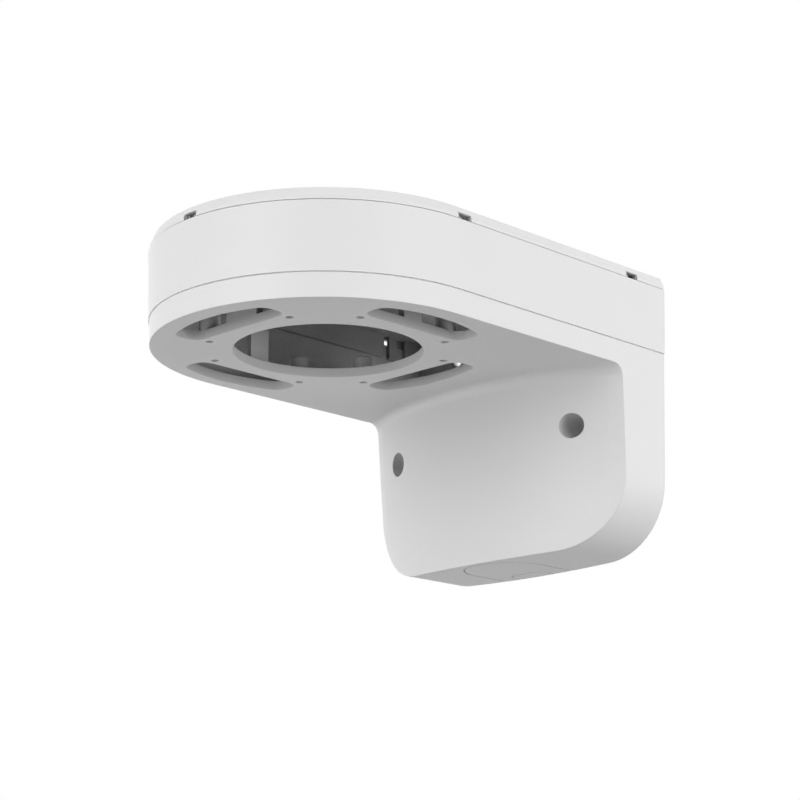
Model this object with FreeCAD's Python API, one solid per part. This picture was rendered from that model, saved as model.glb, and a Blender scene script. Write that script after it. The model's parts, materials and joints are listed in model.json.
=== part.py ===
"""Camera wall bracket: a hollow arm on a leg, with a middle frame and a clip-in top cover.

Millimetres. The wall is the plane y = 0 and the arm points towards -Y. The origin is midway between
the two upper wall screw holes, on the wall. +Z is up and +X is on the right of someone who looks at
the bracket's front. The underside of the arm carries the camera.
"""
import FreeCAD, Part
import math
import os

# Arm outline, seen from above: straight sides and a half-round nose
ARM_HALF_WIDTH = 70.0
ARM_REACH = 121.0
DRAFT_DEG = 1.8

# Heights, from the cover seam down
SEAM_Z = 7.7
FRAME_HEIGHT = 26.6
BAND_HEIGHT = 10.0
LEG_DROP = 72.2

# Lower body
BODY_STEP = 0.35
BODY_WALL = 3.2
PLATE = 3.7
GROOVE_GAP = 0.3
GROOVE_DEPTH = 0.5
TONGUE_WALL = 1.2
TONGUE_HEIGHT = 2.0
RIM_CLEARANCE = 0.2

# Leg
LEG_FACE_RADIUS = 142.0
LEG_DEPTH_AT_BOTTOM = 39.6
LEG_FACE_TILT_DEG = 3.4
LEG_CORNER_RADIUS = 30.0
LEG_BOTTOM_RADIUS = 900.0
LEG_FILLET = 4.3
MARGIN_WIDTH = 5.9
MARGIN_DEPTH = 0.35

# Camera face on the underside
OPENING_RADIUS = 36.75
SLOT_CHORD = 44.4
SLOT_RADIUS = 61.3
SLOT_HALF_LENGTH = 25.4
SLOT_CORNER = 5.0
CAMERA_HOLE_FAR = 40.7
CAMERA_HOLE_NEAR = 22.4
CAMERA_HOLE_RADIUS = 1.6
BOSS_RADIUS = 4.05
BOSS_HEIGHT = 6.7
BOSS_EDGE = 0.9
BOSS_CAP = 1.5
BLANK_BOSS_X = 46.0
BLANK_BOSS_Y = -87.9

# Short walls that stand on the plate along the slots
STIFFENER_WALL = 3.0
STIFFENER_HEIGHT = 14.5
NOSE_STIFFENER = 17.0
SIDE_STIFFENER = 9.3
SIDE_STIFFENER_SHIFT = 1.45

# Wall fixing
UPPER_SCREW_X = 42.6
UPPER_SCREW_RADIUS = 2.5
LOWER_SCREW_X = 48.1
LOWER_SCREW_DROP = 51.2
LOWER_SCREW_RADIUS = 3.0
TUNNEL_RADIUS = 5.05
TUNNEL_WALL = 2.5
TUNNEL_FLOOR = 4.0
TUNNEL_RIB = 2.5
RIB_SETBACK = 2.0

# Knock-outs in the bottom of the leg
KNOCKOUT_GROOVE = 0.8
KNOCKOUT_GROOVE_DEPTH = 0.9
OUTER_KNOCKOUT_HALF = 18.0
OUTER_KNOCKOUT_LENGTH = 36.6
OUTER_KNOCKOUT_CORNER = 17.5
INNER_KNOCKOUT_HALF = 9.3
INNER_KNOCKOUT_LENGTH = 9.0
INNER_KNOCKOUT_CORNER = 5.0

# Frame, and the pillars on the body that it is screwed to
FRAME_WALL = 3.5
FRAME_BACK_WALL = 2.6
LUG_THICKNESS = 3.0
LUG_HALF_WIDTH = 4.5
PILLAR_RADIUS = 4.0
PILLAR_HEIGHT = 7.7
PILLAR_INSET = 8.0
FRONT_PILLAR_DEG = 45.0
REAR_PILLAR_FROM_WALL = 52.0
PILLAR_WEB_DROP = 1.0

# Frame screws
SCREW_RADIUS = 1.7
SCREW_GRIP = 8.0
SCREW_HEAD_RADIUS = 3.4
SCREW_HEAD_HEIGHT = 2.2
SCREW_HOLE_CLEARANCE = 0.3
SCREW_CORE_CLEARANCE = 0.05
SCREW_HOLE_SPARE = 2.0
RECESS_WIDTH = 0.9
RECESS_LENGTH = 3.6
RECESS_DEPTH = 1.2

# Top cover
COVER_HEIGHT = 5.3
COVER_BAND = 1.8
COVER_EDGE_INSET = 0.4
COVER_CHAMFER_INSET = 1.6
COVER_THICKNESS = 1.5
COVER_RIM = 2.3
SEAM_GAP = 0.45
SEAM_DEPTH = 1.2
LIP_WALL = 1.5
LIP_DEPTH = 6.4
LIP_CLEARANCE = 0.2
NOTCH_WIDTH = 7.0
NOTCH_HEIGHT = 2.8
NOSE_NOTCH_SHIFT = 1.0
FRONT_NOTCH_FROM_NOSE = 3.2
REAR_NOTCH_FROM_WALL = 20.3
HOOK_WIDTH = 4.4
HOOK_SHIFT = -0.5
HOOK_SLIT = 3.4
HOOK_SLIT_FAR = 5.6
HOOK_BARB = 0.8
HOOK_BARB_HEIGHT = 1.8
HOOK_POCKET_CLEARANCE = 0.3
SCREW_WINDOW_HALF = 7.0

GROOVE_Z = SEAM_Z - FRAME_HEIGHT
UNDERSIDE_Z = GROOVE_Z - BAND_HEIGHT
LEG_BOTTOM_Z = UNDERSIDE_Z - LEG_DROP
PLATE_TOP_Z = UNDERSIDE_Z + PLATE
PLATE_ROOT_Z = PLATE_TOP_Z - PLATE / 2
PILLAR_TOP_Z = PLATE_TOP_Z + PILLAR_HEIGHT
LOWER_SCREW_Z = -LOWER_SCREW_DROP
LEG_FACE_AXIS_Y = LEG_FACE_RADIUS - LEG_DEPTH_AT_BOTTOM
COVER_BAND_Z = SEAM_Z + COVER_BAND
COVER_TOP_Z = SEAM_Z + COVER_HEIGHT
COVER_HALF_WIDTH = ARM_HALF_WIDTH - COVER_EDGE_INSET
BODY_INSET = BODY_STEP + BODY_WALL
COVER_CEILING_Z = COVER_TOP_Z - COVER_THICKNESS
COVER_RIM_INSIDE = COVER_HALF_WIDTH - COVER_RIM
LIP_FACE = ARM_HALF_WIDTH - FRAME_WALL - LIP_CLEARANCE
LIP_INSIDE = LIP_FACE - LIP_WALL
LIP_LOW_Z = SEAM_Z - LIP_DEPTH
LIP_BACK = FRAME_BACK_WALL + LIP_CLEARANCE
CUT_OVERLAP = 0.1
DRAFT = math.tan(math.radians(DRAFT_DEG))
OVERRUN = 5.0
PAST_LEG = 2 * LEG_DEPTH_AT_BOTTOM
SIDES = (-1, 1)
ALONG_Y = (0, 1, 0)
ALONG_Z = (0, 0, 1)

# How near an edge must lie to a height or a face to be picked, and how far it may turn off a direction
NEAR = 0.05
EDGE_TURN_DEG = 8.0


def vec(x, y, z):
    """Short form of a vector."""
    return FreeCAD.Vector(x, y, z)


def half_width(z):
    """Half-width of the drafted frame at height z; the body is a small step inside it."""
    return ARM_HALF_WIDTH - DRAFT * (SEAM_Z - z)


def box(x0, x1, y0, y1, z0, z1):
    """Box between two corners."""
    return Part.makeBox(x1 - x0, y1 - y0, z1 - z0, vec(x0, y0, z0))


def upright(x, y, radius, z0, z1):
    """Upright cylinder between two heights."""
    return Part.makeCylinder(radius, z1 - z0, vec(x, y, z0))


def outward(x, z, radius, y_front, y_back):
    """Cylinder square to the wall, between two distances from it."""
    return Part.makeCylinder(radius, y_back - y_front, vec(x, y_front, z), vec(0, 1, 0))


def middle(edge):
    """Point halfway along an edge."""
    first, last = edge.ParameterRange
    return edge.valueAt((first + last) / 2)


def runs(edge, direction):
    """True for an edge that starts parallel to a direction."""
    along = edge.tangentAt(edge.FirstParameter).dot(vec(*direction))
    return abs(along) > math.cos(math.radians(EDGE_TURN_DEG))


def arm_solid(width_low, width_high, z0, z1, back=0.0):
    """Solid with the arm's outline, from y = -back to the nose, tapered between two half-widths."""
    section = Part.makePolygon([
        vec(-width_low, -back, z0),
        vec(width_low, -back, z0),
        vec(width_high, -back, z1),
        vec(-width_high, -back, z1),
        vec(-width_low, -back, z0),
    ])
    block = Part.Face(section).extrude(vec(0, back - ARM_REACH, 0))
    if width_low == width_high:
        nose = upright(0, -ARM_REACH, width_low, z0, z1)
    else:
        nose = Part.makeCone(width_low, width_high, z1 - z0, vec(0, -ARM_REACH, z0))
    return block.fuse(nose).removeSplitter()


def drafted_arm(inset, z0, z1, back=0.0):
    """Solid with the arm's outline and draft, an inset inside the outer face of the frame."""
    return arm_solid(half_width(z0) - inset, half_width(z1) - inset, z0, z1, back)


def leg_face_radius(z):
    """Radius of the upright cone that gives the leg its leaning front face, at height z."""
    return LEG_FACE_RADIUS + math.tan(math.radians(LEG_FACE_TILT_DEG)) * (z - LEG_BOTTOM_Z)


def leg_prism(inset, z_top, y_back):
    """The leg's front view run out from the wall: drafted sides, round corners, a slightly bowed bottom."""
    bottom = LEG_BOTTOM_Z + inset
    bow = LEG_BOTTOM_RADIUS - math.sqrt(LEG_BOTTOM_RADIUS ** 2 - half_width(bottom) ** 2)
    low = half_width(bottom + bow) - BODY_STEP - inset
    high = half_width(z_top) - BODY_STEP - inset
    left = vec(-low, y_back, bottom + bow)
    right = vec(low, y_back, bottom + bow)
    sole = Part.Arc(left, vec(0, y_back, bottom), right).toShape()
    rest = Part.makePolygon([right, vec(high, y_back, z_top), vec(-high, y_back, z_top), left])
    prism = Part.Face(Part.Wire([sole] + rest.Edges)).extrude(vec(0, -y_back - LEG_FACE_RADIUS / 2, 0))
    corners = [e for e in prism.Edges if runs(e, ALONG_Y) and middle(e).z < bottom + bow + NEAR]
    return prism.makeFillet(LEG_CORNER_RADIUS - inset, corners)


def leg_solid(inset, z_top, y_back=0.0):
    """Leg outline cut to the curved front face."""
    low = LEG_BOTTOM_Z - OVERRUN
    high = z_top + OVERRUN
    axis_foot = vec(0, LEG_FACE_AXIS_Y, low)
    cone = Part.makeCone(leg_face_radius(low) - inset, leg_face_radius(high) - inset, high - low, axis_foot)
    return leg_prism(inset, z_top, y_back).common(cone)


def on_leg_face(edge):
    """True for an edge that lies on the outer front face of the leg."""
    first, last = edge.ParameterRange
    for share in (0.1, 0.5, 0.9):
        point = edge.valueAt(first + share * (last - first))
        if abs(math.hypot(point.x, point.y - LEG_FACE_AXIS_Y) - leg_face_radius(point.z)) > NEAR:
            return False
    return True


def body_outside():
    """Outside of the lower body: band, leg, the hollow fillet between them and the leg's sloping margin."""
    band = drafted_arm(BODY_STEP, UNDERSIDE_Z, GROOVE_Z)
    shape = band.fuse(leg_solid(0.0, PLATE_TOP_Z)).removeSplitter()
    hollow = [e for e in shape.Edges if on_leg_face(e) and abs(middle(e).z - UNDERSIDE_Z) < NEAR]
    shape = shape.makeFillet(LEG_FILLET, hollow)
    margin = [e for e in shape.Edges if on_leg_face(e) and middle(e).z < UNDERSIDE_Z - LEG_FILLET - NEAR]
    return shape.makeChamfer(MARGIN_WIDTH, MARGIN_DEPTH, margin)


def slot(turn):
    """One camera slot, a round-cornered segment through the plate; the turn in degrees picks its side."""
    centre = vec(0, -ARM_REACH, 0)
    low = UNDERSIDE_Z - OVERRUN
    high = PLATE_TOP_Z + OVERRUN
    chord_y = -ARM_REACH - SLOT_CHORD
    bar = box(-SLOT_HALF_LENGTH, SLOT_HALF_LENGTH, -ARM_REACH - SLOT_RADIUS, chord_y, low, high)
    segment = bar.common(upright(0, -ARM_REACH, SLOT_RADIUS, low, high))
    posts = [e for e in segment.Edges if runs(e, ALONG_Z)]
    segment = segment.makeFillet(SLOT_CORNER, posts)
    segment.rotate(centre, vec(0, 0, 1), turn)
    return segment


def camera_holes():
    """Centres of the eight camera screw holes."""
    near, far = CAMERA_HOLE_NEAR, CAMERA_HOLE_FAR
    pairs = [(far, near), (near, far)]
    return [(sx * a, -ARM_REACH + sy * b) for a, b in pairs for sx in SIDES for sy in SIDES]


def pillars():
    """Centre of each of the four pillars and the direction to the wall beside it."""
    reach = half_width(GROOVE_Z) - PILLAR_INSET
    places = []
    for side in SIDES:
        turn = math.radians(FRONT_PILLAR_DEG)
        front = vec(side * math.cos(turn), -math.sin(turn), 0)
        places.append((vec(0, -ARM_REACH, 0) + front * reach, front))
        places.append((vec(side * reach, -REAR_PILLAR_FROM_WALL, 0), vec(side, 0, 0)))
    return places


def arm_of(place, out, width, start, z0, z1):
    """Upright slab from a start behind a pillar's centre to the wall in front of it."""
    slab = box(-start, PILLAR_INSET, -width / 2, width / 2, z0, z1)
    slab.rotate(vec(0, 0, 0), vec(0, 0, 1), math.degrees(math.atan2(out.y, out.x)))
    slab.translate(vec(place.x, place.y, 0))
    return slab


def knockout_groove(half, length, corner):
    """U-shaped groove in the bottom of the leg, open at the wall."""
    z0 = LEG_BOTTOM_Z - OVERRUN
    z1 = LEG_BOTTOM_Z + KNOCKOUT_GROOVE_DEPTH
    grown = []
    for more in (KNOCKOUT_GROOVE / 2, -KNOCKOUT_GROOVE / 2):
        tab = box(-half - more, half + more, -length - more, OVERRUN, z0, z1)
        posts = [e for e in tab.Edges if runs(e, ALONG_Z) and middle(e).y < 0]
        grown.append(tab.makeFillet(corner + more, posts))
    return grown[0].cut(grown[1])


def rim_tongue():
    """Tongue that stands on the body's rim and centres the frame."""
    low = GROOVE_Z - TONGUE_HEIGHT
    high = GROOVE_Z + TONGUE_HEIGHT
    outer = drafted_arm(BODY_INSET - TONGUE_WALL, low, high, FRAME_BACK_WALL + RIM_CLEARANCE)
    return outer.cut(drafted_arm(BODY_INSET, low - OVERRUN, high + OVERRUN))


def boss(x, y):
    """Boss with a bevelled top edge."""
    edge_z = PLATE_TOP_Z + BOSS_HEIGHT - BOSS_EDGE
    post = upright(x, y, BOSS_RADIUS, PLATE_ROOT_Z, edge_z)
    return post.fuse(Part.makeCone(BOSS_RADIUS, BOSS_RADIUS - BOSS_EDGE, BOSS_EDGE, vec(x, y, edge_z)))


def plate_supports(outside):
    """Camera screw bosses and a blank one, frame pillars with their webs, and stiffeners along three slots."""
    added = [boss(x, y) for x, y in camera_holes() + [(-BLANK_BOSS_X, BLANK_BOSS_Y)]]
    for place, out in pillars():
        added.append(upright(place.x, place.y, PILLAR_RADIUS, PLATE_ROOT_Z, PILLAR_TOP_Z))
        web = arm_of(place, out, PILLAR_RADIUS, 0, PLATE_ROOT_Z, GROOVE_Z - PILLAR_WEB_DROP)
        added.append(web.common(outside))
    top = PLATE_TOP_Z + STIFFENER_HEIGHT
    nose_y = -ARM_REACH - SLOT_CHORD
    half = NOSE_STIFFENER / 2
    added.append(box(-half, half, nose_y, nose_y + STIFFENER_WALL, PLATE_ROOT_Z, top))
    y0 = -ARM_REACH + SIDE_STIFFENER_SHIFT - SIDE_STIFFENER / 2
    for side in SIDES:
        x0, x1 = sorted((side * SLOT_CHORD, side * (SLOT_CHORD - STIFFENER_WALL)))
        added.append(box(x0, x1, y0, y0 + SIDE_STIFFENER, PLATE_ROOT_Z, top))
    return added


def screw_tunnels(outside):
    """Towers round the lower wall screws, each tied to the leg's side by a rib."""
    added = []
    for side in SIDES:
        x = side * LOWER_SCREW_X
        tower = outward(x, LOWER_SCREW_Z, TUNNEL_RADIUS + TUNNEL_WALL, -PAST_LEG, 0)
        x0, x1 = sorted((x, side * ARM_HALF_WIDTH))
        z0 = LOWER_SCREW_Z - TUNNEL_RIB / 2
        rib = box(x0, x1, -PAST_LEG, -RIB_SETBACK, z0, z0 + TUNNEL_RIB)
        added += [tower.common(outside), rib.common(outside)]
    return added


def plate_cuts():
    """Central opening, slots and screw holes of the camera face, and the bores of the pillars."""
    cuts = [upright(0, -ARM_REACH, OPENING_RADIUS, UNDERSIDE_Z - OVERRUN, PLATE_TOP_Z + OVERRUN)]
    cuts += [slot(turn) for turn in (0, 90, 180, 270)]
    for x, y in camera_holes():
        top = PLATE_TOP_Z + BOSS_HEIGHT - BOSS_CAP
        cuts.append(upright(x, y, CAMERA_HOLE_RADIUS, UNDERSIDE_Z - OVERRUN, top))
    core = SCREW_RADIUS + SCREW_CORE_CLEARANCE
    low = PILLAR_TOP_Z - SCREW_GRIP - SCREW_HOLE_SPARE
    for place, out in pillars():
        cuts.append(upright(place.x, place.y, core, low, PILLAR_TOP_Z + OVERRUN))
    return cuts


def leg_cuts():
    """Bores for the lower wall screws, and the knock-out grooves in the leg's bottom."""
    cuts = []
    for side in SIDES:
        x = side * LOWER_SCREW_X
        cuts.append(outward(x, LOWER_SCREW_Z, TUNNEL_RADIUS, -PAST_LEG, -TUNNEL_FLOOR))
        cuts.append(outward(x, LOWER_SCREW_Z, LOWER_SCREW_RADIUS, -TUNNEL_FLOOR - OVERRUN, OVERRUN))
    cuts.append(knockout_groove(OUTER_KNOCKOUT_HALF, OUTER_KNOCKOUT_LENGTH, OUTER_KNOCKOUT_CORNER))
    cuts.append(knockout_groove(INNER_KNOCKOUT_HALF, INNER_KNOCKOUT_LENGTH, INNER_KNOCKOUT_CORNER))
    return cuts


def shadow_groove():
    """Groove round the body's rim, under the frame."""
    ring = drafted_arm(0, GROOVE_Z - GROOVE_GAP, GROOVE_Z + OVERRUN, -OVERRUN)
    core = drafted_arm(BODY_STEP + GROOVE_DEPTH, GROOVE_Z - OVERRUN, GROOVE_Z + 2 * OVERRUN, -OVERRUN)
    return ring.cut(core)


def arm_body():
    """Lower moulding: camera plate, band, and the hollow leg with its screw tunnels and knock-outs."""
    outside = body_outside()
    hollow = drafted_arm(BODY_INSET, PLATE_TOP_Z, GROOVE_Z + OVERRUN, -OVERRUN)
    hollow = hollow.fuse(leg_solid(BODY_WALL, PLATE_TOP_Z + OVERRUN, OVERRUN))
    added = [rim_tongue()] + plate_supports(outside) + screw_tunnels(outside)
    shape = outside.cut(hollow).fuse(added)
    return shape.cut(plate_cuts() + leg_cuts() + [shadow_groove()]).removeSplitter()


def edge_box(place, t0, t1, d0, d1, z0, z1):
    """Box at a notch: t runs along the cover's edge and d outwards from the arm's middle line."""
    side, along = place
    if side == 0:
        return box(along + t0, along + t1, -ARM_REACH - d1, -ARM_REACH - d0, z0, z1)
    x0, x1 = sorted((side * d0, side * d1))
    return box(x0, x1, along + t0, along + t1, z0, z1)


def notches():
    """Places of the five pry notches: one on the nose and two on each side."""
    front = -ARM_REACH + FRONT_NOTCH_FROM_NOSE
    rear = -REAR_NOTCH_FROM_WALL
    return [(0, -NOSE_NOTCH_SHIFT), (-1, front), (1, front), (-1, rear), (1, rear)]


def hook_steps(place):
    """Start of the lip's gap at a notch, start and end of the hook in it, and the gap's end."""
    start = HOOK_SHIFT - HOOK_WIDTH / 2
    end = HOOK_SHIFT + HOOK_WIDTH / 2
    steps = [start - HOOK_SLIT, start, end, end + HOOK_SLIT_FAR]
    on_nose = place[0] == 0
    return [-step for step in reversed(steps)] if on_nose else steps


def screw_lugs():
    """Lugs that lie on the pillars, each tied to the wall beside it."""
    within = drafted_arm(FRAME_WALL / 2, GROOVE_Z, SEAM_Z, FRAME_BACK_WALL / 2)
    top = PILLAR_TOP_Z + LUG_THICKNESS
    added = []
    for place, out in pillars():
        lug = arm_of(place, out, 2 * LUG_HALF_WIDTH, LUG_HALF_WIDTH, PILLAR_TOP_Z, top)
        added.append(lug.common(within))
    return added


def frame_rebates():
    """Rebate for the body's tongue, and a pocket for each snap hook."""
    tongue_top = GROOVE_Z + TONGUE_HEIGHT + RIM_CLEARANCE
    inset = BODY_INSET - TONGUE_WALL - RIM_CLEARANCE
    below = drafted_arm(inset, GROOVE_Z - OVERRUN, tongue_top, FRAME_BACK_WALL)
    land = BODY_INSET + RIM_CLEARANCE
    cuts = [below.cut(drafted_arm(land, GROOVE_Z - 2 * OVERRUN, tongue_top + OVERRUN, FRAME_BACK_WALL))]
    deep = LIP_FACE + HOOK_BARB + HOOK_POCKET_CLEARANCE
    low = LIP_LOW_Z - HOOK_POCKET_CLEARANCE
    high = LIP_LOW_Z + HOOK_BARB_HEIGHT + HOOK_POCKET_CLEARANCE
    for place in notches():
        gap_start, start, end, gap_end = hook_steps(place)
        t0 = start - HOOK_POCKET_CLEARANCE
        t1 = end + HOOK_POCKET_CLEARANCE
        cuts.append(edge_box(place, t0, t1, LIP_INSIDE, deep, low, high))
    return cuts


def frame_bores():
    """Screw holes through the lugs and through the back wall."""
    hole = SCREW_RADIUS + SCREW_HOLE_CLEARANCE
    top = PILLAR_TOP_Z + LUG_THICKNESS + OVERRUN
    cuts = [upright(place.x, place.y, hole, GROOVE_Z, top) for place, out in pillars()]
    for side in SIDES:
        cuts.append(outward(side * UPPER_SCREW_X, 0, UPPER_SCREW_RADIUS, -FRAME_BACK_WALL - OVERRUN, OVERRUN))
    return cuts


def arm_frame():
    """Middle moulding: horseshoe wall with a back wall, screw lugs, a rebate for the tongue and hook pockets."""
    shape = drafted_arm(0, GROOVE_Z, SEAM_Z)
    shape = shape.cut(drafted_arm(FRAME_WALL, GROOVE_Z - OVERRUN, SEAM_Z + OVERRUN, FRAME_BACK_WALL))
    return shape.fuse(screw_lugs()).cut(frame_rebates() + frame_bores()).removeSplitter()


def cover_shell():
    """Cover without its notches: chamfered rim, plug-in lip, the hollow inside it and the gap between both."""
    edge = COVER_HALF_WIDTH
    rim = arm_solid(edge, edge, SEAM_Z, COVER_BAND_Z)
    rim = rim.fuse(arm_solid(edge, edge - COVER_CHAMFER_INSET, COVER_BAND_Z, COVER_TOP_Z))
    inset = ARM_HALF_WIDTH - LIP_FACE
    rim = rim.fuse(drafted_arm(inset, LIP_LOW_Z, SEAM_Z, LIP_BACK)).removeSplitter()
    hollow = arm_solid(LIP_INSIDE, LIP_INSIDE, SEAM_Z, COVER_CEILING_Z, LIP_BACK + LIP_WALL)
    hollow = hollow.fuse(drafted_arm(inset + LIP_WALL, LIP_LOW_Z - OVERRUN, SEAM_Z, LIP_BACK + LIP_WALL))
    gap = arm_solid(COVER_RIM_INSIDE, COVER_RIM_INSIDE, SEAM_Z, COVER_CEILING_Z, LIP_BACK)
    gap = gap.cut(arm_solid(LIP_FACE, LIP_FACE, SEAM_Z - OVERRUN, COVER_TOP_Z, 0))
    windows = []
    for side in SIDES:
        x = side * UPPER_SCREW_X
        windows.append(box(x - SCREW_WINDOW_HALF, x + SCREW_WINDOW_HALF, -LIP_BACK - 2 * LIP_WALL,
                           -LIP_BACK + LIP_CLEARANCE, LIP_LOW_Z - OVERRUN, SEAM_Z))
    return rim.cut([hollow, gap] + windows)


def seam_groove():
    """Thin groove under the cover's edge, which draws the seam line."""
    edge = COVER_HALF_WIDTH
    high = SEAM_Z + SEAM_GAP
    ring = arm_solid(edge + OVERRUN, edge + OVERRUN, SEAM_Z - OVERRUN, high, -OVERRUN)
    inner = edge - SEAM_DEPTH
    return ring.cut(arm_solid(inner, inner, SEAM_Z - 2 * OVERRUN, high + OVERRUN, -OVERRUN))


def top_cover():
    """Lid with its pry notches and a snap hook behind each of them."""
    cuts = [seam_groove()]
    barbs = []
    half = NOTCH_WIDTH / 2
    hook_face = LIP_FACE - DRAFT * LIP_DEPTH
    low = LIP_LOW_Z - OVERRUN
    for place in notches():
        gap_start, start, end, gap_end = hook_steps(place)
        cuts.append(edge_box(place, -half, half, COVER_RIM_INSIDE - CUT_OVERLAP, COVER_HALF_WIDTH + OVERRUN,
                             SEAM_Z - OVERRUN, SEAM_Z + NOTCH_HEIGHT))
        for t0, t1 in ((gap_start, start), (end, gap_end)):
            cuts.append(edge_box(place, t0, t1, LIP_INSIDE - LIP_WALL, LIP_FACE + CUT_OVERLAP, low, COVER_CEILING_Z))
        barbs.append(edge_box(place, start, end, hook_face - LIP_WALL / 2, hook_face + HOOK_BARB,
                              LIP_LOW_Z, LIP_LOW_Z + HOOK_BARB_HEIGHT))
    return cover_shell().cut(cuts).fuse(barbs).removeSplitter()


def frame_screw(x, y):
    """Self-tapping screw with a cheese head and a cross recess."""
    seat = PILLAR_TOP_Z + LUG_THICKNESS
    head_top = seat + SCREW_HEAD_HEIGHT
    head = upright(x, y, SCREW_HEAD_RADIUS, seat, head_top)
    screw = head.fuse(upright(x, y, SCREW_RADIUS, PILLAR_TOP_Z - SCREW_GRIP, seat)).removeSplitter()
    half = RECESS_LENGTH / 2
    width = RECESS_WIDTH / 2
    low = head_top - RECESS_DEPTH
    high = head_top + OVERRUN
    along = box(x - half, x + half, y - width, y + width, low, high)
    across = box(x - width, x + width, y - half, y + half, low, high)
    return screw.cut(along.fuse(across))


def frame_screws():
    """Four screws that hold the frame on the body's pillars."""
    return Part.makeCompound([frame_screw(place.x, place.y) for place, out in pillars()])


def main():
    """Build each piece, report it and write its STEP file."""
    os.makedirs("parts", exist_ok=True)
    pieces = {
        "arm_body": arm_body(),
        "arm_frame": arm_frame(),
        "top_cover": top_cover(),
        "frame_screws": frame_screws(),
    }
    for name, shape in pieces.items():
        solids = shape.Solids
        print(name, "solids", len(solids), "valid", shape.isValid(), "volume", round(shape.Volume))
        whole = solids[0] if len(solids) == 1 else Part.makeCompound(solids)
        whole.exportStep(f"parts/{name}.step")


main()
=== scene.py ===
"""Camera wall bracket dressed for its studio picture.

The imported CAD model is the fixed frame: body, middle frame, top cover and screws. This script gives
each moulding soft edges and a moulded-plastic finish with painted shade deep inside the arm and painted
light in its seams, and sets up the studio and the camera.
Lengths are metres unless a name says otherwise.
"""
import json
import logging
import math
from dataclasses import dataclass
from enum import Enum

import bpy
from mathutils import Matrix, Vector

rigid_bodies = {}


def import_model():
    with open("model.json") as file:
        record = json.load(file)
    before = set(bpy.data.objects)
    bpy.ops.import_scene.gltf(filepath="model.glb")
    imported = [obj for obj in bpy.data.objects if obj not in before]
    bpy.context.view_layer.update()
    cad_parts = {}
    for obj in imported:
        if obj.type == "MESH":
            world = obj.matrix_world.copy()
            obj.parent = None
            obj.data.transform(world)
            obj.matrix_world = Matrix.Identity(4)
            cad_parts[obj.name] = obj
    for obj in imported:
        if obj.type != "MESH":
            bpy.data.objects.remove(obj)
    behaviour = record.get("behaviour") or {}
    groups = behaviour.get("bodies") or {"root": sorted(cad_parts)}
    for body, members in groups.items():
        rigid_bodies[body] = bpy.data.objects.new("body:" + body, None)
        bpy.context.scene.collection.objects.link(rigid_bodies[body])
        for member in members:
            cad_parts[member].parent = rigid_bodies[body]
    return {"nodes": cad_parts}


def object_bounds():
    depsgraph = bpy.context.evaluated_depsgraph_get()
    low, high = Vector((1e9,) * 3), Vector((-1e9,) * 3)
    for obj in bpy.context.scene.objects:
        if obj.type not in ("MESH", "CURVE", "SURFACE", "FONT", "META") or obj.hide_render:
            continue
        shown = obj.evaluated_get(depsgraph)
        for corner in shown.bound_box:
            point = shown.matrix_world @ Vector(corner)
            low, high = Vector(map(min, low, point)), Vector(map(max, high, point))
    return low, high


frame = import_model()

MM = 0.001
CAD_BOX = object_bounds()
ARM_HALF_WIDTH = CAD_BOX[1][0]
NOSE_CENTRE_Y = CAD_BOX[0][1] + ARM_HALF_WIDTH
ARM_DEPTH_MM = 42.0
ARM_UNDERSIDE_Z = CAD_BOX[1][2] - ARM_DEPTH_MM * MM
LOG = logging.getLogger("bracket")


def deselect_all() -> None:
    """Leave no object selected and none active."""
    for item in bpy.context.view_layer.objects:
        item.select_set(False)
    bpy.context.view_layer.objects.active = None


def plain_grey(value: float) -> tuple[float, float, float, float]:
    """Give a grey as a colour.

    Args:
        value: How light the grey is, from 0 to 1.

    Returns:
        Red, green, blue and full cover.
    """
    return (value, value, value, 1.0)


class Nodes:
    """Short way to add and join shader nodes in one tree."""

    def __init__(self, tree: bpy.types.NodeTree) -> None:
        """Keep the tree that the nodes go into.

        Args:
            tree: Node tree of a material, a world or a group.
        """
        self.tree = tree

    def add(self, kind: str, inputs: dict[str | int, object] | None = None,
            **values: object) -> bpy.types.Node:
        """Add a node.

        Args:
            kind: Blender's name of the node type.
            inputs: Value of an input, or the output that feeds it, by the input's name or number.
            values: Properties of the node to set.

        Returns:
            The new node.
        """
        node = self.tree.nodes.new(kind)
        for name, value in values.items():
            setattr(node, name, value)
        self.feed(node, inputs or {})
        return node

    def feed(self, node: bpy.types.Node, inputs: dict[str | int, object]) -> None:
        """Set or link some inputs of a node.

        Args:
            node: Node to feed.
            inputs: Value of an input, or the output that feeds it, by the input's name or number.
        """
        for key, value in inputs.items():
            if isinstance(value, bpy.types.NodeSocket):
                self.tree.links.new(value, node.inputs[key])
            else:
                node.inputs[key].default_value = value

    def math(self, operation: str, first: object, second: object) -> bpy.types.NodeSocket:
        """Work out one number from two.

        Args:
            operation: Blender's name of the sum.
            first: First number, or the output that gives it.
            second: Second number, or the output that gives it.

        Returns:
            Output with the result.
        """
        return self.add("ShaderNodeMath", {0: first, 1: second}, operation=operation).outputs[0]


def new_group(name: str, inputs: dict[str, float], outputs: dict[str, str]) -> bpy.types.NodeTree:
    """Make a shader node group with named sockets.

    Args:
        name: Name of the group.
        inputs: Number inputs and their starting values.
        outputs: Outputs and Blender's names of their socket types.

    Returns:
        The empty group, with its interface made.
    """
    tree = bpy.data.node_groups.new(name, "ShaderNodeTree")
    for label, value in inputs.items():
        socket = tree.interface.new_socket(name=label, in_out="INPUT", socket_type="NodeSocketFloat")
        socket.default_value = value
    for label, kind in outputs.items():
        tree.interface.new_socket(name=label, in_out="OUTPUT", socket_type=kind)
    return tree


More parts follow.
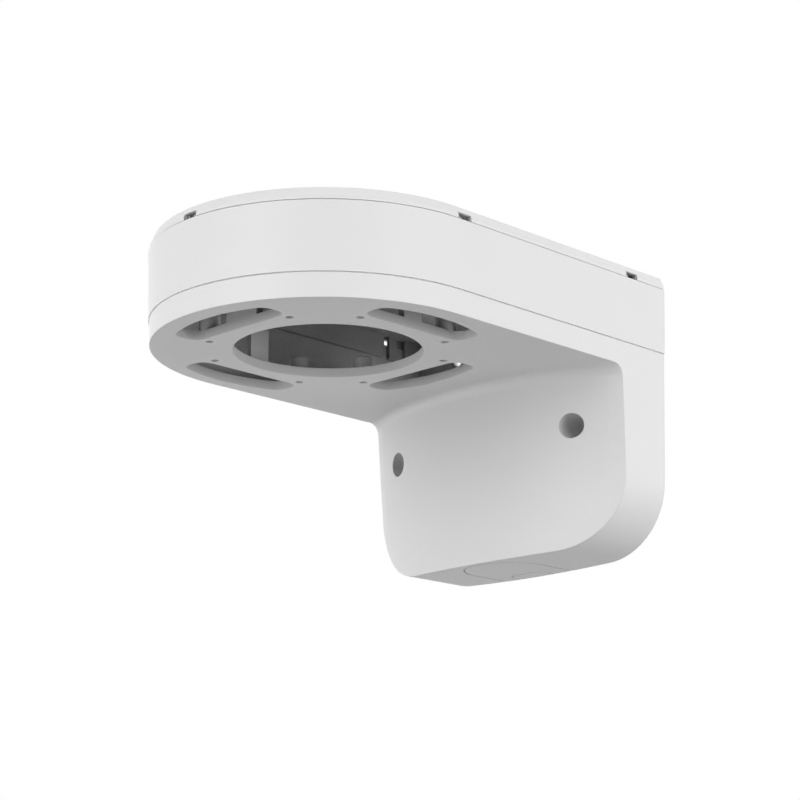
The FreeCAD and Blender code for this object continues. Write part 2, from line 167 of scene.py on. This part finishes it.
def build_grain_group() -> bpy.types.NodeTree:
    """Spark-eroded mould texture: a fine even grain over a faint slow unevenness.

    Returns:
        Group that puts out the grain's height and the slow unevenness, both about 0 to 1.
    """
    tree = new_group("mould_grain", {"Grain per metre": 1900.0, "Patch per metre": 28.0},
                     {"Height": "NodeSocketFloat", "Patches": "NodeSocketFloat"})
    nodes = Nodes(tree)
    given = nodes.add("NodeGroupInput").outputs
    place = nodes.add("ShaderNodeTexCoord").outputs["Object"]
    grain = nodes.add("ShaderNodeTexNoise", {"Vector": place, "Scale": given["Grain per metre"],
                                             "Detail": 3.0, "Roughness": 0.6})
    patches = nodes.add("ShaderNodeTexNoise", {"Vector": place, "Scale": given["Patch per metre"],
                                               "Detail": 2.0})
    nodes.add("NodeGroupOutput", {"Height": grain.outputs["Fac"], "Patches": patches.outputs["Fac"]})
    return tree


def build_edge_group() -> bpy.types.NodeTree:
    """Soft edges of a moulding: the surface's normal, turned over within a radius of each sharp edge.

    Returns:
        Group that puts out the softened normal.
    """
    tree = new_group("soft_edges", {"Radius": 0.0004}, {"Normal": "NodeSocketVector"})
    nodes = Nodes(tree)
    given = nodes.add("NodeGroupInput").outputs
    rounding = nodes.add("ShaderNodeBevel", {"Radius": given["Radius"]}, samples=8)
    nodes.add("NodeGroupOutput", {"Normal": rounding.outputs["Normal"]})
    return tree


def arm_place(nodes: Nodes, nose_centre: bpy.types.NodeSocket) -> tuple[bpy.types.NodeSocket, ...]:
    """Find where in the arm a point lies.

    Args:
        nodes: Node tree to add to.
        nose_centre: Output that gives the Y of the half-round nose's centre.

    Returns:
        Output with the distance from the arm's middle line or, in the nose, from the nose's centre, and
        output with the height.
    """
    place = nodes.add("ShaderNodeTexCoord").outputs["Object"]
    parts = nodes.add("ShaderNodeSeparateXYZ", {"Vector": place}).outputs
    past_centre = nodes.math("MINIMUM", nodes.math("SUBTRACT", parts["Y"], nose_centre), 0.0)
    across = nodes.add("ShaderNodeCombineXYZ", {"X": parts["X"], "Y": past_centre}).outputs["Vector"]
    distance = nodes.add("ShaderNodeVectorMath", {0: across}, operation="LENGTH").outputs["Value"]
    return distance, parts["Z"]


def build_painted_shading_group() -> bpy.types.NodeTree:
    """Masks for painted shade and painted light in shut-in places: shade deep inside the hollow arm, light in
    the thin seams round it.

    Returns:
        Group that puts out both masks, 0 in the open and up to 1 where the sky is hidden on nearly all sides.
    """
    tree = new_group("painted_shading",
                     {"Reach": 0.1, "Shut in": 0.03, "Inside open": 0.26, "Seam open": 0.8,
                      "Half width": 0.0, "Nose centre": 0.0, "Underside": 0.0},
                     {"Inside": "NodeSocketFloat", "Seam": "NodeSocketFloat"})
    nodes = Nodes(tree)
    given = nodes.add("NodeGroupInput").outputs
    openness = nodes.add("ShaderNodeAmbientOcclusion", {"Distance": given["Reach"]}, samples=8)
    distance, height = arm_place(nodes, given["Nose centre"])
    in_arm = nodes.math("GREATER_THAN", height, given["Underside"])
    # The first mask is painted shade that darkens the hollow arm, the second painted light that lightens the
    # thin seams near its outer faces.
    masks = {}
    for label, test in (("Inside", "LESS_THAN"), ("Seam", "GREATER_THAN")):
        shut = nodes.add("ShaderNodeMapRange",
                         {"Value": openness.outputs["AO"], "From Min": given["Shut in"],
                          "From Max": given[f"{label} open"], "To Min": 1.0, "To Max": 0.0})
        zone = nodes.math("MULTIPLY", in_arm, nodes.math(test, distance, given["Half width"]))
        masks[label] = nodes.math("MULTIPLY", shut.outputs["Result"], zone)
    nodes.add("NodeGroupOutput", masks)
    return tree


@dataclass(frozen=True)
class Effects:
    """Node groups that the finishes share."""

    grain: bpy.types.NodeTree
    edges: bpy.types.NodeTree
    painted_shading: bpy.types.NodeTree


@dataclass(frozen=True)
class MouldedPlastic:
    """Matte light-grey plastic with a spark-eroded grain, soft edges, painted shade inside and painted light
    in its seams.
    """

    name: str
    grey: float = 0.75
    patch_contrast: float = 0.02
    roughness: float = 0.5
    roughness_spread: float = 0.05
    grain_height_mm: float = 0.02
    grain_strength: float = 0.35
    edge_radius_mm: float = 0.45
    # Painted shade deep inside the arm, and painted light in the seams near its outer faces.
    painted_shade_grey: float = 0.2
    painted_shade_open: float = 0.26
    painted_shade_falloff: float = 1.5
    # Painted light: the lighter grey put into the shut-in seams, within this band of the arm's outer faces.
    painted_seam_light_grey: float = 0.95
    painted_seam_band_mm: float = 1.8

    def build(self, effects: Effects) -> bpy.types.Material:
        """Make the material.

        Args:
            effects: Node groups for the mould texture, the soft edges and the painted shade and light of
                shut-in places.

        Returns:
            The finished material.
        """
        material = bpy.data.materials.new(self.name)
        material.use_nodes = True
        nodes = Nodes(material.node_tree)
        texture = nodes.add("ShaderNodeGroup", node_tree=effects.grain).outputs
        shine = nodes.add("ShaderNodeMapRange",
                          {"Value": texture["Height"], "To Min": self.roughness - self.roughness_spread,
                           "To Max": self.roughness + self.roughness_spread})
        nodes.feed(material.node_tree.nodes["Principled BSDF"],
                   {"Base Color": self.paint(nodes, effects, texture["Patches"]),
                    "Roughness": shine.outputs["Result"],
                    "Normal": self.relief(nodes, effects, texture["Height"])})
        return material

    def paint(self, nodes: Nodes, effects: Effects, patches: bpy.types.NodeSocket) -> bpy.types.NodeSocket:
        """Colour the plastic: slow unevenness, painted shade inside the arm and painted light in the seams.

        Args:
            nodes: Node tree to add to.
            effects: Node groups, of which the one for the painted shade and light of shut-in places is used.
            patches: Output with the slow unevenness.

        Returns:
            Output with the colour.
        """
        place = nodes.add("ShaderNodeGroup",
                          {"Inside open": self.painted_shade_open, "Nose centre": NOSE_CENTRE_Y,
                           "Half width": ARM_HALF_WIDTH - self.painted_seam_band_mm * MM,
                           "Underside": ARM_UNDERSIDE_Z}, node_tree=effects.painted_shading).outputs
        colour = nodes.add("ShaderNodeMix",
                           {"Factor": patches, "A": plain_grey(self.grey * (1.0 - self.patch_contrast)),
                            "B": plain_grey(self.grey * (1.0 + self.patch_contrast))}, data_type="RGBA")
        # Painted shade darkens the colour deep inside the hollow arm; painted light then lightens it in the
        # seams.
        painted_shade_depth = nodes.math("POWER", place["Inside"], self.painted_shade_falloff)
        for mask, shade in ((painted_shade_depth, self.painted_shade_grey), (place["Seam"], self.painted_seam_light_grey)):
            colour = nodes.add("ShaderNodeMix", {"Factor": mask, "A": colour.outputs["Result"],
                                                 "B": plain_grey(shade)}, data_type="RGBA")
        return colour.outputs["Result"]

    def relief(self, nodes: Nodes, effects: Effects, grain: bpy.types.NodeSocket) -> bpy.types.NodeSocket:
        """Put the grain on the softened edges.

        Args:
            nodes: Node tree to add to.
            effects: Node groups, of which the one for soft edges is used.
            grain: Output with the grain's height.

        Returns:
            Output with the normal.
        """
        edges = nodes.add("ShaderNodeGroup", {"Radius": self.edge_radius_mm * MM}, node_tree=effects.edges)
        bump = nodes.add("ShaderNodeBump",
                         {"Height": grain, "Distance": self.grain_height_mm * MM,
                          "Strength": self.grain_strength, "Normal": edges.outputs["Normal"]})
        return bump.outputs["Normal"]


@dataclass(frozen=True)
class ZincSteel:
    """Zinc-plated screw steel with a faint mottled shine."""

    name: str = "screw_zinc"
    colour: tuple[float, float, float, float] = (0.62, 0.62, 0.6324, 1.0)
    mottles_per_metre: float = 900.0
    roughness_low: float = 0.27
    roughness_high: float = 0.47
    edge_radius_mm: float = 0.15

    def build(self, effects: Effects) -> bpy.types.Material:
        """Make the material.

        Args:
            effects: Node groups for the mottling and the soft edges.

        Returns:
            The finished material.
        """
        material = bpy.data.materials.new(self.name)
        material.use_nodes = True
        nodes = Nodes(material.node_tree)
        texture = nodes.add("ShaderNodeGroup", {"Grain per metre": self.mottles_per_metre},
                            node_tree=effects.grain)
        shine = nodes.add("ShaderNodeMapRange",
                          {"Value": texture.outputs["Height"], "To Min": self.roughness_low,
                           "To Max": self.roughness_high})
        edges = nodes.add("ShaderNodeGroup", {"Radius": self.edge_radius_mm * MM}, node_tree=effects.edges)
        nodes.feed(material.node_tree.nodes["Principled BSDF"],
                   {"Base Color": self.colour, "Metallic": 1.0, "Roughness": shine.outputs["Result"],
                    "Normal": edges.outputs["Normal"]})
        return material


@dataclass(frozen=True)
class CadPiece:
    """One node of the CAD model, which keeps its shape and gets a finish."""

    node: str
    finish: MouldedPlastic | ZincSteel

    def build(self, effects: Effects) -> bpy.types.Object:
        """Dress the node.

        Args:
            effects: Node groups that the finish uses.

        Returns:
            The node's object.
        """
        item = frame["nodes"][self.node]
        item.data.materials.clear()
        item.data.materials.append(self.finish.build(effects))
        LOG.info("%s dressed, %d faces", self.node, len(item.data.polygons))
        return item


@dataclass(frozen=True)
class BracketShells:
    """The three fixed mouldings, from the bottom up."""

    frame_edge_mm: float = 0.15
    # Grey of the painted shade inside the frame.
    frame_painted_shade_grey: float = 0.04
    cover_edge_mm: float = 0.2
    # Grey and opening of the painted shade inside the cover.
    cover_painted_shade_grey: float = 0.25
    cover_painted_shade_open: float = 0.55

    def build(self, effects: Effects) -> None:
        """Dress the lower body, the middle frame and the top cover.

        Args:
            effects: Node groups that the finishes use.
        """
        # The cover's painted seam light is its plain grey, so its seams get no painted light.
        cover = MouldedPlastic("cover_plastic", edge_radius_mm=self.cover_edge_mm,
                               painted_shade_grey=self.cover_painted_shade_grey, painted_shade_open=self.cover_painted_shade_open,
                               painted_seam_light_grey=MouldedPlastic.grey)
        middle = MouldedPlastic("frame_plastic", edge_radius_mm=self.frame_edge_mm,
                                painted_shade_grey=self.frame_painted_shade_grey)
        CadPiece("arm_body", MouldedPlastic("body_plastic")).build(effects)
        CadPiece("arm_frame", middle).build(effects)
        CadPiece("top_cover", cover).build(effects)


@dataclass(frozen=True)
class FrameScrews:
    """The four screws that hold the frame on the body."""

    finish: ZincSteel = ZincSteel()

    def build(self, effects: Effects) -> None:
        """Dress the screws.

        Args:
            effects: Node groups that the finish uses.
        """
        CadPiece("frame_screws", self.finish).build(effects)


@dataclass(frozen=True)
class PhotoCamera:
    """Camera that looks up at the bracket from below its right front corner."""

    place_mm: tuple[float, float, float] = (583.85, -670.83, -261.64)
    azimuth_deg: float = 44.743
    look_up_deg: float = 14.914
    focal_px: float = 2167.7
    picture_px: float = 800.0
    sensor_mm: float = 36.0
    clip_near: float = 0.01
    clip_far: float = 20.0

    def build(self) -> bpy.types.Object:
        """Make the camera and give it to the scene.

        Returns:
            The camera.
        """
        data = bpy.data.cameras.new("photo_camera")
        data.sensor_fit = "HORIZONTAL"
        data.sensor_width = self.sensor_mm
        data.lens = self.focal_px / self.picture_px * self.sensor_mm
        data.clip_start = self.clip_near
        data.clip_end = self.clip_far
        camera = bpy.data.objects.new("photo_camera", data)
        camera.location = Vector(self.place_mm) * MM
        camera.rotation_euler = (math.radians(90.0 + self.look_up_deg), 0.0, math.radians(self.azimuth_deg))
        bpy.context.scene.collection.objects.link(camera)
        bpy.context.scene.camera = camera
        return camera


class Side(Enum):
    """Directions that a soft lamp can stand in, seen from the bracket."""

    FRONT = (0.0, -1.0, 0.1)
    RIGHT = (1.0, 0.0, 0.15)
    RIGHT_BACK = (1.0, 0.5, 0.1)
    LEFT = (-1.0, 0.35, 0.1)
    LOW_FRONT = (0.0, -0.8, -0.8)
    LOW_RIGHT = (1.0, 0.4, -0.6)
    LOW_LEFT = (-1.0, -0.3, -0.5)
    LOW_BACK = (0.0, 0.5, -1.0)


@dataclass(frozen=True)
class Studio:
    """Plain pale studio: a white surround, a pale floor far below and soft lamps."""

    floor_z: float = -2.2
    floor_size: float = 80.0
    floor_grey: float = 0.95
    floor_roughness: float = 0.9
    sky_strength: float = 0.6
    sky_full_at: float = 0.5
    lamp_distance: float = 1.6
    lamp_size: float = 1.2
    centre: tuple[float, float, float] = (0.0, -0.09, -0.04)
    lamp_watts: tuple[tuple[Side, float], ...] = (
        (Side.FRONT, 15.9), (Side.RIGHT, 5.1), (Side.RIGHT_BACK, 11.9), (Side.LEFT, 2.5),
        (Side.LOW_FRONT, 4.8), (Side.LOW_RIGHT, 4.6), (Side.LOW_LEFT, 4.9), (Side.LOW_BACK, 2.7))

    def build(self) -> None:
        """Make the surround, the floor and the lamps."""
        self.build_world()
        self.build_floor()
        for side, watts in self.lamp_watts:
            self.build_lamp(side, watts)

    def build_world(self) -> None:
        """Surround that shows white, and lights the object softly from above."""
        world = bpy.data.worlds.new("studio")
        bpy.context.scene.world = world
        world.use_nodes = True
        nodes = Nodes(world.node_tree)
        place = nodes.add("ShaderNodeTexCoord").outputs["Generated"]
        height = nodes.add("ShaderNodeSeparateXYZ", {"Vector": place}).outputs["Z"]
        strength = nodes.add("ShaderNodeMapRange", {"Value": height, "From Max": self.sky_full_at,
                                                    "To Min": 0.0, "To Max": self.sky_strength})
        light = world.node_tree.nodes["Background"]
        nodes.feed(light, {"Color": plain_grey(1.0), "Strength": strength.outputs["Result"]})
        shown = nodes.add("ShaderNodeBackground", {"Color": plain_grey(1.0), "Strength": 1.0})
        path = nodes.add("ShaderNodeLightPath")
        seen = nodes.math("MAXIMUM", path.outputs["Is Camera Ray"], self.mirrored_ray(nodes, path))
        mix = nodes.add("ShaderNodeMixShader", {"Fac": seen, 1: light.outputs["Background"],
                                                2: shown.outputs["Background"]})
        nodes.feed(world.node_tree.nodes["World Output"], {"Surface": mix.outputs["Shader"]})

    def mirrored_ray(self, nodes: Nodes, path: bpy.types.Node) -> bpy.types.NodeSocket:
        """Tell rays that show the surroundings in gloss or through glass from all others.

        Args:
            nodes: Node tree to add to.
            path: The tree's Light Path node.

        Returns:
            Output that is 1 for glossy and transmission rays.
        """
        return nodes.math("MAXIMUM", path.outputs["Is Glossy Ray"], path.outputs["Is Transmission Ray"])

    def build_floor(self) -> None:
        """Pale floor, well below, that holds the shadow, shows white in gloss and gives no light."""
        deselect_all()
        bpy.ops.mesh.primitive_plane_add(size=self.floor_size, location=(0.0, 0.0, self.floor_z))
        floor = bpy.context.active_object
        floor.name = "studio_floor"
        material = bpy.data.materials.new("studio_floor")
        material.use_nodes = True
        nodes = Nodes(material.node_tree)
        paint = material.node_tree.nodes["Principled BSDF"]
        nodes.feed(paint, {"Base Color": plain_grey(self.floor_grey), "Roughness": self.floor_roughness})
        path = nodes.add("ShaderNodeLightPath")
        glow = nodes.add("ShaderNodeEmission", {"Strength": self.mirrored_ray(nodes, path)})
        mix = nodes.add("ShaderNodeMixShader", {"Fac": path.outputs["Is Camera Ray"],
                                                1: glow.outputs["Emission"], 2: paint.outputs["BSDF"]})
        nodes.feed(material.node_tree.nodes["Material Output"], {"Surface": mix.outputs["Shader"]})
        floor.data.materials.append(material)

    def build_lamp(self, side: Side, watts: float) -> None:
        """Add one large soft lamp that shines at the bracket.

        Args:
            side: Direction that the lamp stands in.
            watts: Power of the lamp.
        """
        data = bpy.data.lights.new(f"lamp_{side.name.lower()}", "AREA")
        data.shape = "DISK"
        data.size = self.lamp_size
        data.energy = watts
        lamp = bpy.data.objects.new(data.name, data)
        direction = Vector(side.value).normalized()
        lamp.location = Vector(self.centre) + direction * self.lamp_distance
        lamp.rotation_euler = direction.to_track_quat("Z", "Y").to_euler()
        bpy.context.scene.collection.objects.link(lamp)


def main() -> None:
    """Build the dressed pieces, the studio and the camera."""
    logging.basicConfig(level=logging.INFO, format="%(name)s %(message)s")
    bpy.context.scene.view_settings.view_transform = "Standard"
    PhotoCamera().build()
    Studio().build()
    effects = Effects(grain=build_grain_group(), edges=build_edge_group(), painted_shading=build_painted_shading_group())
    BracketShells().build(effects)
    FrameScrews().build(effects)


if __name__ == "__main__":
    main()
